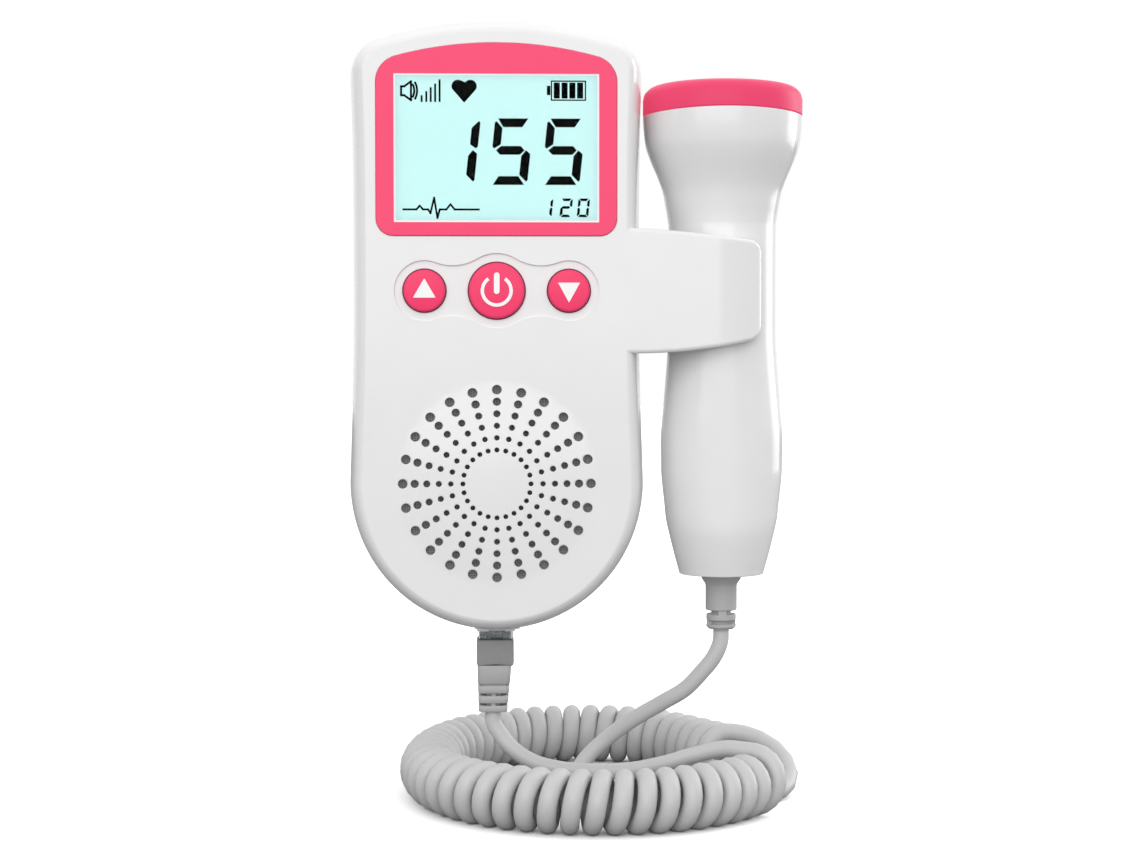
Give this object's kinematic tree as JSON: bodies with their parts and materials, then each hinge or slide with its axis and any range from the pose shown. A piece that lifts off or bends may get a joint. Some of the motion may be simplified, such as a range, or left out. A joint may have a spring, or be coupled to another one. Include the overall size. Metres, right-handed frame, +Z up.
{
  "type": "fetal doppler",
  "caption": "White handheld fetal doppler with a lit display in a pink surround, pink keys, a round speaker grille and a probe in its side holder, joined by a curly grey lead",
  "frame": {"origin": "on the flat back face of the body, on its centre line, 32 mm below the body's top: the face that rests against a hand, a table or a display panel", "axes": "+Y points out of the body's back, so the front faces -Y; +Z is up along the body and the probe; +X is to the right seen from the front, towards the probe"},
  "size_m": [0.1005, 0.0946, 0.1723],
  "materials": {
    "white_case": "glossy white moulded plastic",
    "white_inner_plastic": "matte white moulded plastic",
    "pink_bezel": "flat pink printed panel",
    "pink_key": "semi-gloss pink plastic",
    "pink_cap": "semi-gloss pink plastic",
    "pink_rubber": "conductive elastomer strip",
    "clear_plastic": "clear moulded plastic",
    "lit_display": "lit pale cyan liquid crystal display",
    "green_board": "solder-masked circuit board",
    "black_plastic": "matte black plastic",
    "bright_steel": "bright plated steel",
    "plated_magnet": "zinc-plated steel",
    "gold_contact": "gold-plated brass",
    "battery_sleeve": "printed plastic sleeve",
    "ceramic": "fired ceramic",
    "black_foam": "closed-cell foam",
    "paper_cone": "pressed paper",
    "grey_sleeve": "matte dark grey plastic",
    "grey_relief": "soft moulded strain relief",
    "grey_cord": "soft grey cable jacket"
  },
  "bodies": {
    "doppler_body": {"amplifier_chip": "black_plastic", "battery_1": "battery_sleeve", "battery_2": "battery_sleeve", "battery_spring_1": "bright_steel", "battery_spring_2": "bright_steel", "board_screw_1": "bright_steel", "board_screw_2": "bright_steel", "case_screw_1": "bright_steel", "case_screw_2": "bright_steel", "case_screw_3": "bright_steel", "case_screw_4": "bright_steel", "contact_bridge": "bright_steel", "contact_negative": "bright_steel", "contact_positive": "bright_steel", "cord_coil": "grey_cord", "cord_lead_main": "grey_cord", "cord_lead_probe": "grey_cord", "front_shell": "white_case", "lcd_backlight": "white_inner_plastic", "lcd_connector": "pink_rubber", "lcd_panel": "lit_display", "main_board": "green_board", "main_chip": "black_plastic", "plug_body": "clear_plastic", "plug_boot": "grey_relief", "plug_contact_1": "gold_contact", "plug_contact_2": "gold_contact", "plug_contact_3": "gold_contact", "plug_contact_4": "gold_contact", "plug_sleeve": "grey_sleeve", "power_switch_housing": "black_plastic", "probe_jack": "white_case", "rear_shell": "white_case", "screen_bezel": "pink_bezel", "screen_window": "clear_plastic", "speaker_cone": "paper_cone", "speaker_frame": "black_plastic", "speaker_gasket": "black_foam", "speaker_magnet": "plated_magnet", "volume_down_switch_housing": "black_plastic", "volume_up_switch_housing": "black_plastic"},
    "power_key": {"power_key": "pink_key", "power_switch_plunger": "black_plastic"},
    "volume_up_key": {"volume_up_key": "pink_key", "volume_up_switch_plunger": "black_plastic"},
    "volume_down_key": {"volume_down_key": "pink_key", "volume_down_switch_plunger": "black_plastic"},
    "battery_door": {"battery_door": "white_case"},
    "plug_latch": {"plug_latch": "clear_plastic"},
    "probe": {"probe_shell_front": "white_case", "probe_shell_rear": "white_case", "probe_cap": "pink_cap", "probe_carrier": "white_inner_plastic", "crystal_backing": "black_plastic", "transmit_crystal": "ceramic", "receive_crystal": "ceramic", "probe_board": "green_board", "probe_strain_relief": "grey_relief"}
  },
  "joints": [
    {"name": "power_slide", "type": "slide", "parent": "doppler_body", "child": "power_key", "axis": [0, 1, 0], "range_m": [0, 0.0005], "stiffness_N_per_m": 400},
    {"name": "volume_up_slide", "type": "slide", "parent": "doppler_body", "child": "volume_up_key", "axis": [0, 1, 0], "range_m": [0, 0.0005], "stiffness_N_per_m": 400},
    {"name": "volume_down_slide", "type": "slide", "parent": "doppler_body", "child": "volume_down_key", "axis": [0, 1, 0], "range_m": [0, 0.0005], "stiffness_N_per_m": 400},
    {"name": "door_hinge", "type": "hinge", "parent": "doppler_body", "child": "battery_door", "pos_m": [0, 0, -0.027], "axis": [1, 0, 0], "range_deg": [0, 75]},
    {"name": "latch_hinge", "type": "hinge", "parent": "doppler_body", "child": "plug_latch", "pos_m": [0, -0.02095, -0.0942], "axis": [1, 0, 0], "range_deg": [0, 4], "stiffness_Nm_per_rad": 0.02},
    {"name": "probe_slide", "type": "slide", "parent": "doppler_body", "child": "probe", "axis": [0, 0, 1], "range_m": [0, 0.095]}
  ]
}
